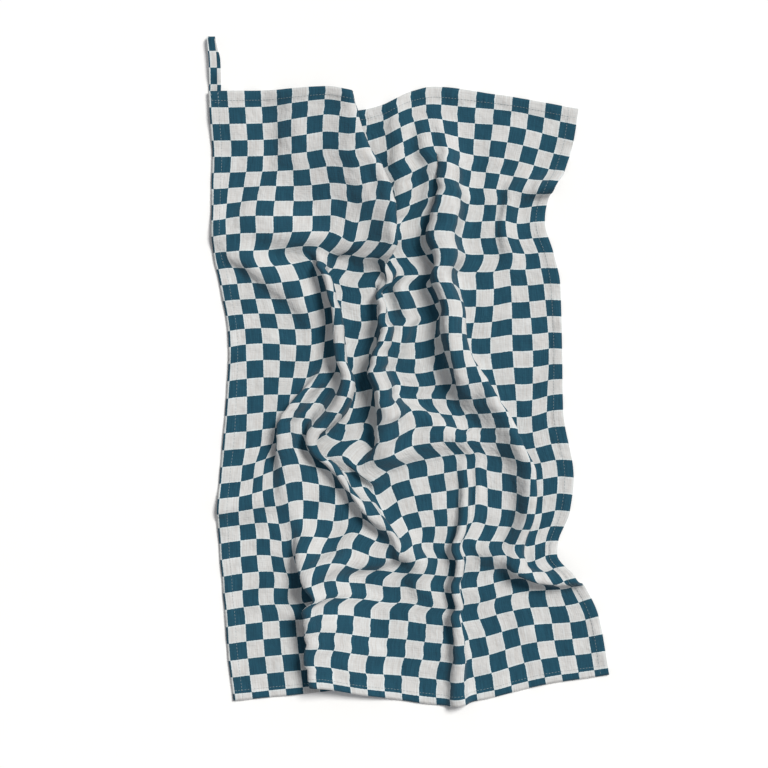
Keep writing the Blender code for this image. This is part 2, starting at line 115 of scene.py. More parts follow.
# name, where the steep side faces, stations of column, row, steep reach mm, steep angle deg, soft reach mm
FOLDS = (
    ("top tuck", "right", (
        (8.2, -0.5, 60, 168, 105), (9.4, 3.5, 60, 164, 100), (10.8, 6.5, 54, 150, 85),
        (12.2, 9.0, 40, 110, 55), (13.0, 11.0, 20, 0, 30),
    )),
    ("bottom tuck", "left", (
        (5.6, 26.5, 20, 0, 30), (6.4, 29.0, 30, 70, 40), (8.0, 31.6, 42, 115, 60),
        (9.4, 34.5, 52, 155, 80), (9.9, 37.9, 58, 168, 95),
    )),
    ("left step", "left", (
        (5.2, -0.5, 20, 10, 40), (4.4, 5.0, 24, 22, 50), (3.0, 7.2, 24, 22, 45), (1.0, 8.8, 20, 0, 40),
    )),
    ("left crest", "down", (
        (-0.6, 8.8, 16, 28, 30), (3.0, 8.8, 22, 36, 40), (6.0, 9.3, 26, 58, 45), (8.6, 9.4, 24, 55, 40),
        (10.0, 9.0, 16, 0, 30),
    )),
    ("left slant", "left", (
        (0.6, 9.4, 18, 25, 25), (2.9, 11.2, 26, 50, 35), (4.6, 13.0, 24, 45, 30),
        (5.2, 15.3, 18, 0, 25),
    )),
    ("left ridge", "right", (
        (7.2, 9.8, 18, 0, 20), (7.6, 12.0, 34, 100, 32), (8.0, 14.0, 38, 112, 34),
        (8.7, 16.5, 40, 120, 38), (8.9, 19.0, 40, 116, 38), (8.8, 21.0, 30, 90, 34),
        (8.8, 23.0, 20, 0, 24),
    )),
    ("lump", "left", (
        (6.6, 17.2, 16, 0, 20), (5.9, 19.2, 26, 100, 30), (5.4, 21.5, 30, 112, 34),
        (5.2, 23.5, 26, 70, 34), (5.0, 25.0, 24, 40, 34), (5.2, 27.5, 18, 0, 30),
    )),
    ("slant ridge", "left", (
        (7.6, 20.3, 18, 0, 20), (8.4, 22.5, 26, 80, 32), (9.8, 24.6, 28, 84, 34),
        (12.2, 26.9, 28, 88, 34), (13.6, 28.4, 26, 84, 30), (15.0, 30.4, 20, 50, 26),
        (16.0, 32.4, 16, 0, 24),
    )),
    ("row 26 crease", "down", (
        (-0.6, 25.7, 18, 36, 30), (2.5, 25.6, 18, 38, 30), (5.0, 25.9, 16, 0, 30),
    )),
    ("pocket crest", "down", (
        (6.8, 30.3, 16, 0, 20), (9.0, 30.2, 22, 60, 36), (11.5, 29.2, 22, 55, 40),
        (13.8, 27.6, 16, 0, 30),
    )),
    ("inner ridge", "left", (
        (13.0, 10.0, 20, 0, 20), (13.6, 12.5, 34, 85, 30), (14.0, 15.0, 40, 112, 34),
        (14.1, 18.0, 42, 120, 36), (14.3, 20.5, 34, 90, 34), (14.8, 23.0, 20, 0, 30),
    )),
    ("knot", "down", (
        (12.6, 10.9, 16, 0, 20), (14.6, 10.2, 22, 60, 28), (16.4, 9.2, 20, 60, 26),
        (17.6, 8.0, 16, 0, 20),
    )),
    ("thin ridge", "left", (
        (16.9, 10.0, 16, 0, 16), (16.4, 12.5, 22, 70, 20), (15.8, 15.0, 24, 80, 22),
        (15.2, 17.5, 16, 0, 20),
    )),
    ("top streak", "left", (
        (16.9, -0.5, 14, 25, 20), (16.7, 3.5, 18, 50, 22), (16.3, 7.0, 18, 45, 22),
        (16.2, 9.5, 14, 0, 20),
    )),
    ("pale crease", "right", (
        (18.5, 1.5, 16, 0, 20), (18.5, 4.0, 20, 72, 26), (18.4, 7.0, 20, 60, 26),
        (18.0, 9.5, 16, 0, 20),
    )),
    ("main ridge", "left", (
        (19.4, 0.8, 18, 0, 30), (19.9, 4.0, 26, 60, 32), (20.2, 8.0, 38, 105, 40),
        (20.1, 12.0, 42, 112, 44), (20.0, 14.5, 42, 112, 44), (20.2, 17.0, 34, 85, 40),
        (20.6, 19.5, 22, 0, 30),
    )),
    ("outer ridge", "right", (
        (21.2, 12.0, 16, 0, 24), (21.7, 15.0, 24, 70, 40), (22.2, 18.0, 30, 105, 56),
        (23.2, 21.0, 30, 108, 46), (24.0, 23.5, 28, 90, 40), (24.2, 26.0, 26, 80, 34),
        (24.2, 28.5, 22, 70, 30), (24.4, 30.5, 16, 0, 24),
    )),
    ("cross ridge", "up", (
        (13.8, 18.4, 14, 0, 20), (15.6, 19.8, 20, 80, 30), (18.0, 21.2, 22, 70, 34),
        (20.4, 21.9, 22, 50, 34), (22.0, 21.8, 14, 0, 24),
    )),
    ("cross step", "down", (
        (11.0, 23.0, 14, 0, 24), (13.0, 22.6, 24, 50, 40), (16.0, 22.0, 24, 52, 30),
        (18.4, 22.6, 14, 0, 24),
    )),
    ("long pleat", "left", (
        (18.8, 22.8, 14, 0, 14), (18.7, 25.5, 20, 60, 20), (18.7, 29.0, 26, 98, 24),
        (18.7, 33.0, 26, 98, 24), (18.6, 37.9, 22, 70, 24),
    )),
    ("right fold", "down", (
        (20.0, 28.4, 16, 0, 24), (22.5, 29.2, 24, 66, 30), (25.0, 30.4, 30, 95, 34),
        (28.6, 31.2, 26, 70, 34),
    )),
    ("right nip", "down", (
        (24.4, 28.2, 12, 0, 16), (26.4, 28.9, 16, 60, 20), (28.6, 29.2, 18, 70, 22),
    )),
    ("upper right", "left", (
        (25.9, 4.2, 14, 0, 20), (25.2, 6.5, 18, 56, 24), (24.8, 9.0, 18, 50, 24),
        (24.7, 11.5, 14, 0, 20),
    )),
    ("edge overlap", "down", (
        (28.6, 5.2, 24, 110, 34), (27.0, 5.6, 22, 80, 30), (25.4, 6.2, 12, 0, 20),
    )),
)

# Where crossings of the checks lie, seen from above: row, then column, x mm and y mm of each
PINS = (
    (2, ((4, -135, 260), (7, -87, 266), (20, 36, 262), (24, 107, 256))),
    (4, ((3, -150, 225), (7, -88, 230), (9, -54, 229), (18, 13, 231), (22, 69, 226))),
    (8, ((3, -158, 162), (9, -50, 155), (20, 31, 164), (22, 61, 156), (24, 91, 158), (26, 114, 154),
         (28, 143, 157))),
    (10, ((3, -160, 126), (10, -59, 121), (16, -14, 119), (18, 19, 121), (20, 31, 127), (26, 122, 123))),
    (12, ((5, -113, 95), (7, -88, 101), (10, -70, 91), (12, -32, 87), (17, 2, 84),
          (20, 33, 92), (22, 54, 86), (25, 108, 90))),
    (16, ((2, -151, 30), (5, -100, 28), (8, -76, 31), (10, -66, 20), (12, -39, 18), (14, -33, 17),
          (16, -9, 14), (18, 27, 17), (20, 45, 22), (22, 63, 21), (25, 110, 22))),
    (20, ((3, -136, -41), (6, -112, -32), (8, -84, -39), (10, -70, -50), (12, -45, -53),
          (14, -29, -55), (17, 21, -41), (20, 60, -45), (22, 87, -42), (25, 114, -47), (28, 162, -39))),
    (24, ((2, -160, -111), (4, -140, -103), (7, -95, -99), (12, -47, -120), (15, 2, -112),
          (18, 52, -103), (21, 82, -102), (24, 127, -111), (26, 141, -111), (28, 172, -110))),
    (28, ((3, -143, -174), (6, -111, -172), (7, -98, -170), (11, -33, -176), (15, 15, -178),
          (18, 47, -178), (20, 59, -174), (23, 100, -177), (26, 133, -180), (28, 156, -176))),
    (30, ((28, 162, -202),)),
    (32, ((2, -154, -243), (10, -76, -233), (13, -29, -239), (16, 25, -245),
          (20, 58, -243), (22, 92, -236), (24, 127, -228), (28, 180, -220))),
    (33, ((27, 181, -241),)),
    (34, ((20, 64, -279), (25, 150, -262), (27, 186, -258))),
    (36, ((10, -96, -303), (14, -25, -315), (16, 12, -318), (19, 58, -321),
          (23, 122, -303), (26, 175, -295))),
)
# How far a pin's pull reaches, in checks, how slack it is, and how near the edges it fades out
PIN_REACH = 3.0
PIN_SLACK = 0.03
PIN_FADE = 1.4

FACING = {"left": (-1.0, 0.0), "right": (1.0, 0.0), "up": (0.0, -1.0), "down": (0.0, 1.0)}

# Small creases over the folds: name, half width mm, rise mm, stations of column and row
CREASES = (
    ("left hem pinch", 9, 1.8, ((-0.1, 13.2), (1.4, 12.5), (3.0, 12.3), (4.2, 13.0))),
    ("left hem pinch above", 8, 1.6, ((0.2, 10.9), (1.6, 10.3), (3.0, 10.6))),
    ("upper left streak", 12, 1.4, ((5.6, 0.3), (5.5, 3.0), (5.2, 5.6))),
    ("shoulder line", 9, 1.8, ((8.4, 2.6), (8.9, 5.6), (9.4, 8.6))),
    ("row 26 pinch", 8, 2.0, ((-0.1, 26.9), (1.4, 26.5), (3.2, 26.7))),
    ("beside the slant", 9, 2.2, ((9.4, 22.4), (11.4, 24.2), (13.4, 26.6))),
    ("pleat's neighbour", 7, 3.2, ((20.4, 22.8), (20.2, 25.0), (20.0, 28.0), (20.2, 30.2))),
    ("narrow checks", 7, 2.6, ((24.7, 22.6), (24.7, 25.5), (24.5, 28.2))),
    ("upper right streak", 10, 1.5, ((22.6, 1.0), (23.4, 4.0), (23.6, 7.5), (23.4, 10.5))),
    ("right edge pinch", 9, 1.8, ((28.0, 8.0), (26.6, 8.2), (25.2, 9.2))),
    ("bottom fan", 10, 1.6, ((12.6, 31.4), (12.2, 34.0), (11.6, 37.2))),
    ("right panel streak", 12, 1.5, ((22.4, 31.8), (23.4, 34.0), (24.2, 37.2))),
    ("right fold's back", 8, 2.4, ((23.2, 29.6), (25.2, 30.9), (27.9, 31.4))),
    ("back of the top tuck", 8, 1.6, ((12.4, 1.4), (13.4, 4.4), (14.6, 7.6))),
)
CREASE_STEPS = 40
CREASE_ENDS = 4.0
# The height of the hems' ripples, how far in they reach, and the depth of the crumples all over
RIPPLE = 0.0016
RIPPLE_WIDE = 0.026
CRUMPLE = 0.0027

# The loop's tape: its size, its reach past the hem, its tucked ends, and where its pattern starts
TAPE_WIDE = 0.0083
TAPE_THICK = 0.0011
LOOP_REACH = 0.0570
LOOP_TUCKED = 0.0100
LOOP_STEPS = 48
TURN_STEPS = 14
TAPE_COLUMNS = 6
TAPE_SIDE = -0.08
TAPE_PHASE = 2.02
# mm beyond the top hem, x of the upper leg, x of the lower leg, space between the legs
LOOP = (
    (-10, -201.6, -200.0, 0.3),
    (0, -202.4, -198.6, 0.3),
    (8, -202.1, -198.3, 1.6),
    (20, -202.0, -198.6, 4.8),
    (34, -202.5, -199.2, 5.4),
    (46, -203.6, -202.2, 5.4),
    (57, -205.0, -204.6, 5.4),
)
# How far the corner is lifted over the loop's ends, and over how many checks it stays up and comes down
CORNER_LIFT = 0.0031
LIFT_FLAT = 1.5
LIFT_FADE = 2.6

STITCH = 0.0026
STITCH_GAP = 0.0007
THREAD = 0.00036
# How far a stitch stands out of the cloth, as a share of its thickness
STITCH_PROUD = 0.1
# How far the seams run from the edge, and how many checks short of the corners they stop
SEAM_IN = 0.0100
SEAM_SHORT = 0.1
# Where the stitches that hold the loop start and end, as columns and rows of checks
BAR_TACKS = (
    ((0.46, 0.02), (0.46, 0.72)),
    ((0.18, 0.70), (0.55, 0.70)),
    ((0.05, 0.10), (0.05, 0.66)),
)

BLUE_DEEP = "#10394f"
BLUE_PALE = "#245469"
BLUE_GREEN = "#1c4c58"
WHITE_WARM = "#d1c9c3"
WHITE_COOL = "#d0d5d7"
WHITE_GREY = "#bcc2c6"
WHITE_RIM = "#d9e8ec"
THREAD_DEEP = "#7f939c"
THREAD_PALE = "#b3bec1"
BOARD_DEEP = "#fafafa"
BOARD_PALE = "#fcfcfc"
# The pale rim of a white check: its width in checks, and how much of its own colour it has
RIM_WIDE = 0.1
RIM_SHARE = 0.6
# How far the checks' borders wander, in checks
BORDER_WANDER = 0.045
# The scales of the slubs, the drawn weave, the crumples, the sewing thread's twist and the board's mottle
SLUBS = 13.0
WEAVE_BANDS = 2.6
CRUMPLES = 0.9
TWISTS = 900.0
MOTTLES = 3.0
# How much the warp, the weft and random patches lighten and darken the cloth
WARP_SWING = 0.34
WEFT_SWING = 0.16
PATCH_SWING = 0.24

# The middle of the photo's frame on the cloth's plan before it is centred, and the camera's height
PHOTO_MIDDLE = (-0.0244, -0.0125)
CAMERA_HIGH = 1.89
LENS_MM = 85.0
FLOOR_HALF = 20.0
FLOOR_BELOW = 0.0001
# The key light: where it comes from, its strength, its width in degrees and its colour; then the surround
KEY_FROM = (0.50, 0.46, 0.95)
KEY_STRENGTH = 2.85
KEY_SOFT = 20.0
KEY_TINT = "#fffdf9"
SURROUND = 0.34
SURROUND_TINT = "#fbfcff"


def smooth(x):
    """An S-shaped step from 0 to 1."""
    x = np.clip(x, 0.0, 1.0)
    return x * x * (3.0 - 2.0 * x)


def curve(table, at, column):
    """A smooth curve through one column of a table, read at the places asked for."""
    knots = np.array([row[0] for row in table], float)
    values = np.array([row[column] for row in table], float)
    step = np.diff(knots)
    slope = np.diff(values) / step
    before, after = slope[:-1], slope[1:]
    same_way = before * after > 0.0
    mean = 2.0 * before * after / np.where(same_way, before + after, 1.0)
    tangent = np.concatenate([slope[:1], np.where(same_way, mean, 0.0), slope[-1:]])
    at = np.clip(at, knots[0], knots[-1])
    i = np.clip(np.searchsorted(knots, at) - 1, 0, len(knots) - 2)
    t = (at - knots[i]) / step[i]
    start = (1.0 + 2.0 * t) * (1.0 - t) ** 2 * values[i] + t * (1.0 - t) ** 2 * step[i] * tangent[i]
    end = t * t * (3.0 - 2.0 * t) * values[i + 1] + t * t * (t - 1.0) * step[i] * tangent[i + 1]
    return start + end


def slope_up(s, reach, angle):
    """The slope angle at cloth distance s from a flank's foot: it bends up, runs on and bends back."""
    bend = np.minimum(BEND, 0.5 * reach)
    return angle * smooth(s / bend) * smooth((reach - s) / bend)


def flank_height(s, reach, angle, samples=12):
    """The height climbed over the cloth distance s from a flank's foot."""
    total = np.zeros_like(s)
    for j in range(samples):
        total += np.sin(slope_up(s * (j + 0.5) / samples, reach, angle))
    return total * s / samples


# The rise of a soft flank at each of its angles, for its length, from which its angle is read back
SOFT_ANGLES = np.radians(np.linspace(0.0, STEEPEST_SOFT, SOFT_SAMPLES))
SOFT_REACH = np.array([0.05])
SOFT_RISES = np.array([flank_height(SOFT_REACH, SOFT_REACH, a)[0] for a in SOFT_ANGLES]) / SOFT_REACH[0]


def nearest_on_path(across, along, px, py, nx, ny):
    """For each point of the cloth: its distance to a path, its side of it and its place along it."""
    gap = np.full(across.shape, np.inf)
    side = np.zeros(across.shape)
    place = np.zeros(across.shape)
    for i in range(len(px) - 1):
        bx, by = px[i + 1] - px[i], py[i + 1] - py[i]
        t = ((across - px[i]) * bx + (along - py[i]) * by) / (bx * bx + by * by)
        t = np.clip(t, 0.0, 1.0)
        dx, dy = across - px[i] - t * bx, along - py[i] - t * by
        distance = np.hypot(dx, dy)
        closer = distance < gap
        gap = np.where(closer, distance, gap)
        side = np.where(closer, dx * nx[i] + dy * ny[i], side)
        place = np.where(closer, i + t, place)
    return gap, side, place


def fold(across, along, facing, stations, samples=48):
    """One fold: its height, and the share of the cloth's length that it hides across and along."""
    table = np.array(stations, float)
    path = table[:, :2] * (CHECK_ACROSS, CHECK_ALONG)
    steps = np.hypot(*np.diff(path, axis=0).T)
    knots = np.concatenate([[0.0], np.cumsum(steps)])
    places = np.linspace(0.0, knots[-1], samples)
    rows = np.column_stack([knots, path, table[:, 2:]])
    px, py, steep, angle, soft = (curve(rows, places, column) for column in range(1, 6))
    tx, ty = np.gradient(px, places), np.gradient(py, places)
    size = np.hypot(tx, ty)
    nx, ny = ty / size, -tx / size
    face = FACING[facing]
    turn = np.sign(nx.mean() * face[0] + ny.mean() * face[1])
    nx, ny = nx * turn, ny * turn
    gap, side, place = nearest_on_path(across, along, px, py, nx, ny)
    order = np.arange(samples)
    steep = np.interp(place, order, steep) * 0.001
    soft = np.interp(place, order, soft) * 0.001
    angle = np.radians(np.interp(place, order, angle))
    crest = flank_height(steep, steep, angle)
    soft_angle = np.interp(crest / soft, SOFT_RISES, SOFT_ANGLES)
    on_steep = side > 0.0
    s = np.maximum(np.where(on_steep, steep, soft) - gap, 0.0)
    reach = np.where(on_steep, steep, soft)
    lean = np.where(on_steep, angle, soft_angle)
    height = flank_height(s, reach, lean)
    height *= crest / np.maximum(flank_height(reach, reach, lean), 1e-6)
    height += CREST_SHARE * crest * np.exp(-(gap / CREST_WIDE) ** 2)
    hidden = np.cos(slope_up(s, reach, lean)) - 1.0
    nx, ny = np.interp(place, order, nx), np.interp(place, order, ny)
    return height, hidden * nx ** 2, hidden * ny ** 2


def eased(field, reach, step):
    """The field with each value drawn towards its neighbours' over this reach, which rounds off kinks."""
    for _ in range(max(1, round(2.0 * (reach / step) ** 2))):
        ring = np.pad(field, 1, mode="edge")
        rows = 0.25 * (ring[:, :-2] + ring[:, 2:]) + 0.5 * ring[:, 1:-1]
        field = 0.25 * (rows[:-2] + rows[2:]) + 0.5 * rows[1:-1]
    return field


def laid(share, step, low, high):
    """Places along the cloth's lines from low to high, with the folds taking up the length that is over."""
    cloth = step * share.shape[1]
    taken = cloth - share.sum(axis=1) * step
    more = np.clip((cloth - np.abs(high - low)) / np.maximum(taken, 1e-4), LEAST_TAKE, MOST_TAKE)
    share = np.maximum(1.0 - more[:, None] * (1.0 - share), FURTHEST_BACK)
    run = np.concatenate([np.zeros((len(share), 1)), np.cumsum(share, axis=1)], axis=1)
    return low[:, None] + run / run[:, -1:] * (high - low)[:, None]


def read_between(field, columns, rows):
    """A field of the sheet's grid read at these fractional columns and rows of its lines."""
    i = np.clip(np.floor(columns).astype(int), 0, field.shape[1] - 2)
    j = np.clip(np.floor(rows).astype(int), 0, field.shape[0] - 2)
    a, b = columns - i, rows - j
    near = field[j, i].T * (1.0 - a) + field[j, i + 1].T * a
    far = field[j + 1, i].T * (1.0 - a) + field[j + 1, i + 1].T * a
    return (near * (1.0 - b) + far * b).T


def pinned(x, y, u, v):
    """The laid cloth drawn over to its pins, with a smooth pull in between and none out over its edges."""
    pins = np.array([(column, row, right, up) for row, cells in PINS for column, right, up in cells], float)
    column, row, right, up = pins.T
    line_across = (column - u[0]) / (u[1] - u[0])
    line_along = (row - v[0]) / (v[1] - v[0])
    short = np.column_stack([
        right * 0.001 - read_between(x, line_across, line_along),
        up * 0.001 - read_between(y, line_across, line_along),
    ])
    shared = np.exp(-np.hypot(column[:, None] - column, row[:, None] - row) ** 2 / PIN_REACH ** 2)
    pulls = np.linalg.solve(shared + PIN_SLACK * np.eye(len(pins)), short)
    columns, rows = np.meshgrid(u, v)
    free_across = smooth((columns - u[0]) / PIN_FADE) * smooth((u[-1] - columns) / PIN_FADE)
    free_along = smooth(rows / PIN_FADE) * smooth((v[-1] - rows) / PIN_FADE)
    for at_column, at_row, pull in zip(column, row, pulls):
        near = np.exp(-np.hypot(columns - at_column, rows - at_row) ** 2 / PIN_REACH ** 2)
        x = x + free_across * near * pull[0]
        y = y + free_along * near * pull[1]
    return x, y


def thread_share(step_up, step_aside, hidden):
    """How much of a thread's length shows in plan, backwards where the cloth is folded under."""
    flat = np.sqrt(np.maximum(1.0 - step_up ** 2 - step_aside ** 2, 0.0))
    return np.where(hidden < -1.0, -flat, flat)


def sheet_points(columns, rows, rounds=5):
    """The sheet's middle: places of evenly spaced lines of thread, for this many steps across and along."""
    u = np.linspace(-SLIVER, COLUMNS, columns + 1)
    v = np.linspace(0.0, ROWS, rows + 1)
    across, along = np.meshgrid(u * CHECK_ACROSS, v * CHECK_ALONG)
    height, hidden_across, hidden_along = np.zeros((3,) + across.shape)
    for _name, facing, stations in FOLDS:
        up, over_x, over_y = fold(across, along, facing, stations)
        height += up
        hidden_across += over_x
        hidden_along += over_y
    du, dv = across[0, 1] - across[0, 0], along[1, 0] - along[0, 0]
    z = eased(height, EASE, dv)
    hidden_across = eased(hidden_across, EASE_TAKE, dv)
    hidden_along = eased(hidden_along, EASE_TAKE, dv)
    hidden_across = 0.5 * (hidden_across[:, 1:] + hidden_across[:, :-1])
    hidden_along = 0.5 * (hidden_along[1:] + hidden_along[:-1])
    left, right = curve(SIDE_EDGES, v, 1) * 0.001, curve(SIDE_EDGES, v, 2) * 0.001
    top, bottom = curve(TOP_EDGE, u, 1) * 0.001, curve(BOTTOM_EDGE, u, 1) * 0.001
    z_across, z_along = np.diff(z, axis=1) / du, np.diff(z, axis=0) / dv
    y_across, x_along = np.zeros_like(z_across), np.zeros_like(z_along)
    for _ in range(rounds):
        share_across = eased(thread_share(z_across, y_across, hidden_across), EASE_TAKE, dv)
        share_along = eased(thread_share(z_along, x_along, hidden_along), EASE_TAKE, dv)
        x = laid(share_across, du, left, right)
        y = laid(share_along.T, dv, top, bottom).T
        y_across = np.clip(np.diff(y, axis=1) / du, -STEEPEST_SLIDE, STEEPEST_SLIDE)
        x_along = np.clip(np.diff(x, axis=0) / dv, -STEEPEST_SLIDE, STEEPEST_SLIDE)
    x, y = pinned(x, y, u, v)
    column, row = np.meshgrid(u, v)
    lift = smooth((LIFT_FLAT + LIFT_FADE - np.hypot(column, row)) / LIFT_FADE)
    return x, y, np.maximum(z, lift * CORNER_LIFT)


def plan_centre():
    """The middle of the whole towel's plan box, loop and half the hem's thickness taken in."""
    x, y, _z = sheet_points(PLAN_ACROSS, PLAN_ALONG)
    loop_top = TOP_EDGE[0][1] * 0.001 + LOOP_REACH
    return 0.5 * (x.min() + x.max()), 0.5 * (y.min() + loop_top)


def linear(hex_colour):
    """The linear colour of an sRGB hex value."""
    parts = [int(hex_colour[i : i + 2], 16) / 255 for i in (1, 3, 5)]
    return tuple(c / 12.92 if c <= 0.04045 else ((c + 0.055) / 1.055) ** 2.4 for c in parts) + (1.0,)


def add(tree, kind, settings, *values):
    """A new shader node with these settings, its inputs set or linked in order, None left as it is."""
    node = tree.nodes.new(kind)
    for name, setting in settings.items():
        setattr(node, name, setting)
    inputs = [socket for socket in node.inputs if socket.enabled]
    for socket, value in zip(inputs, values):
        if isinstance(value, bpy.types.NodeSocket):
            tree.links.new(value, socket)
        elif value is not None:
            socket.default_value = value
    return node


def maths(tree, operation, *values):
    """The result of one sum on numbers or sockets."""
    return add(tree, "ShaderNodeMath", {"operation": operation}, *values).outputs[0]


def mixed(tree, share, first, second, blend="MIX"):
    """One colour mixed into another by a share."""
    node = add(tree, "ShaderNodeMix", {"data_type": "RGBA", "blend_type": blend}, share, first, second)
    return next(socket for socket in node.outputs if socket.enabled)


def new_material(name, roughness):
    """A material, its node tree and its Principled shader, whose colour and normal are linked later."""
    material = bpy.data.materials.new(name)
    material.use_nodes = True
    shader = material.node_tree.nodes["Principled BSDF"]
    shader.inputs["Roughness"].default_value = roughness
    return material, material.node_tree, shader


def threads(tree, u, v, along_u, along_v, detail=2.0):
    """A streaky grey from 0 to 1, with this many streaks to a check along each set of threads."""
    across = maths(tree, "MULTIPLY", u, along_u)
    along = maths(tree, "MULTIPLY", v, along_v)
    place = add(tree, "ShaderNodeCombineXYZ", {}, across, along).outputs[0]
    return add(tree, "ShaderNodeTexNoise", {"noise_dimensions": "2D"}, place, 1.0, detail, 0.6).outputs[0]


def swing(tree, grey, size):
    """A grey about 0.5 turned into a value between minus and plus half this size."""
    return maths(tree, "MULTIPLY", maths(tree, "SUBTRACT", grey, 0.5), size)


def bumped(tree, height, depth):
    """A bump node that turns a grey height into this real depth."""
    bump = add(tree, "ShaderNodeBump", {})
    bump.inputs["Distance"].default_value = depth
    tree.links.new(height, bump.inputs["Height"])
    return bump


def checked_linen():
    """Washed linen and cotton, yarn-dyed and plain-woven in checks: matt, a little hairy and slubby."""
    material, tree, shader = new_material("washed checked linen", 0.92)
    shader.inputs["Sheen Weight"].default_value = 0.1
    shader.inputs["Sheen Roughness"].default_value = 0.6
    shader.inputs["Specular IOR Level"].default_value = 0.2
    uv = add(tree, "ShaderNodeUVMap", {"uv_map": "checks"}).outputs[0]
    split = add(tree, "ShaderNodeSeparateXYZ", {}, uv)
    u, v = split.outputs[0], split.outputs[1]
    # The borders wander a little, as threads float over or under at the change of colour
    ragged_u = maths(tree, "ADD", u, swing(tree, threads(tree, u, v, 1.0, 9.0), BORDER_WANDER))
    ragged_v = maths(tree, "ADD", v, swing(tree, threads(tree, u, v, 9.0, 1.0), BORDER_WANDER))
    count = maths(tree, "ADD", maths(tree, "FLOOR", ragged_u), maths(tree, "FLOOR", ragged_v))
    pale = maths(tree, "FLOORED_MODULO", count, 2.0)
    warp = threads(tree, u, v, SLUBS, 0.8, 3.0)
    weft = threads(tree, u, v, 0.8, SLUBS, 3.0)
    patches = threads(tree, u, v, 0.8, 0.8)
    blue = mixed(tree, warp, linear(BLUE_DEEP), linear(BLUE_PALE))
    blue = mixed(tree, maths(tree, "MULTIPLY", weft, 0.5), blue, linear(BLUE_GREEN))
    white = mixed(tree, warp, linear(WHITE_WARM), linear(WHITE_COOL))
    white = mixed(tree, maths(tree, "MULTIPLY", weft, 0.4), white, linear(WHITE_GREY))
    # White threads float over the last blue ones, so each white check has a pale blue-white rim
    to_border = maths(tree, "MINIMUM", maths(tree, "PINGPONG", u, 0.5), maths(tree, "PINGPONG", v, 0.5))
    inward = maths(tree, "DIVIDE", to_border, RIM_WIDE)
    rim = maths(tree, "MAXIMUM", maths(tree, "SUBTRACT", 1.0, inward), 0.0)
    white = mixed(tree, maths(tree, "MULTIPLY", rim, RIM_SHARE), white, linear(WHITE_RIM))
    colour = mixed(tree, pale, blue, white)
    # Slubs leave the threads uneven in tone, and random patches lighten and darken the cloth all over
    uneven = maths(tree, "ADD", swing(tree, warp, WARP_SWING), swing(tree, weft, WEFT_SWING))
    shade = maths(tree, "ADD", maths(tree, "ADD", uneven, swing(tree, patches, PATCH_SWING)), 1.0)
    grey = add(tree, "ShaderNodeCombineXYZ", {}, shade, shade, shade).outputs[0]
    tree.links.new(mixed(tree, 1.0, colour, grey, "MULTIPLY"), shader.inputs["Base Color"])
    # The plain weave, drawn at about twice the real thread pitch so that it shows
    over = add(tree, "ShaderNodeTexWave", {"bands_direction": "X"}, uv, WEAVE_BANDS, 0.6, 2.0, 1.5)
    under = add(tree, "ShaderNodeTexWave", {"bands_direction": "Y"}, uv, WEAVE_BANDS, 0.6, 2.0, 1.5)
    weave = maths(tree, "ADD", over.outputs["Fac"], under.outputs["Fac"])
    height = maths(tree, "ADD", maths(tree, "MULTIPLY", weave, 0.4), maths(tree, "ADD", warp, weft))
    # Washing leaves shallow crumples, a check or less across, and the threads stand up from them
    flat = {"noise_dimensions": "2D"}
    crumple = add(tree, "ShaderNodeTexNoise", flat, uv, CRUMPLES, 3.0, 0.55).outputs[0]
    soft = bumped(tree, crumple, CRUMPLE)
    fine = bumped(tree, height, THREAD)
    fine.inputs["Strength"].default_value = 0.35
    tree.links.new(soft.outputs[0], fine.inputs["Normal"])
    tree.links.new(fine.outputs[0], shader.inputs["Normal"])
    return material


def sewing_thread():
    """Soft-twisted polycotton sewing thread, off-white: matt, its twist a faint mottle."""
    material, tree, shader = new_material("off-white sewing thread", 0.75)
    shader.inputs["Sheen Weight"].default_value = 0.1
    place = add(tree, "ShaderNodeTexCoord", {}).outputs["Object"]
    twist = add(tree, "ShaderNodeTexNoise", {}, place, TWISTS, 2.0)
    colour = mixed(tree, twist.outputs[0], linear(THREAD_DEEP), linear(THREAD_PALE))
    tree.links.new(colour, shader.inputs["Base Color"])
    return material


def white_board():
    """Matt white painted board: it throws light back evenly and hardly shines."""
    material, tree, shader = new_material("matt white painted board", 0.9)
    place = add(tree, "ShaderNodeTexCoord", {}).outputs["Object"]
    mottle = add(tree, "ShaderNodeTexNoise", {}, place, MOTTLES, 2.0)
    colour = mixed(tree, mottle.outputs[0], linear(BOARD_DEEP), linear(BOARD_PALE))
    tree.links.new(colour, shader.inputs["Base Color"])
    shader.inputs["Specular IOR Level"].default_value = 0.1
    return material


def grid_mesh(name, points, counts):
    """A grid of faces at these rows of places, with the count of checks as its UV map.

    The row and column of each of its points come back with it.
    """
    rows, columns = points.shape[:2]
    shape = bmesh.new()
    bmesh.ops.create_grid(shape, x_segments=columns - 1, y_segments=rows - 1, size=0.5)
    mesh = bpy.data.meshes.new(name)
    shape.to_mesh(mesh)
    shape.free()
    place = np.empty(3 * len(mesh.vertices))
    mesh.vertices.foreach_get("co", place)
    place = place.reshape(-1, 3)
    column = np.rint((place[:, 0] + 0.5) * (columns - 1)).astype(int)
    row = np.rint((0.5 - place[:, 1]) * (rows - 1)).astype(int)
    mesh.vertices.foreach_set("co", points[row, column].ravel())
    corners = np.empty(len(mesh.loops), int)
    mesh.loops.foreach_get("vertex_index", corners)
    layer = mesh.uv_layers.new(name="checks")
    layer.uv.foreach_set("vector", counts[row[corners], column[corners]].ravel())
    mesh.shade_smooth()
    mesh.update()
    return mesh, row, column


def new_piece(name, mesh, material):
    """A piece of the towel, which lies on its one body."""
    mesh.materials.append(material)
    piece = bpy.data.objects.new(name, mesh)
    bpy.context.scene.collection.objects.link(piece)
    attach(piece, "root")
    return piece


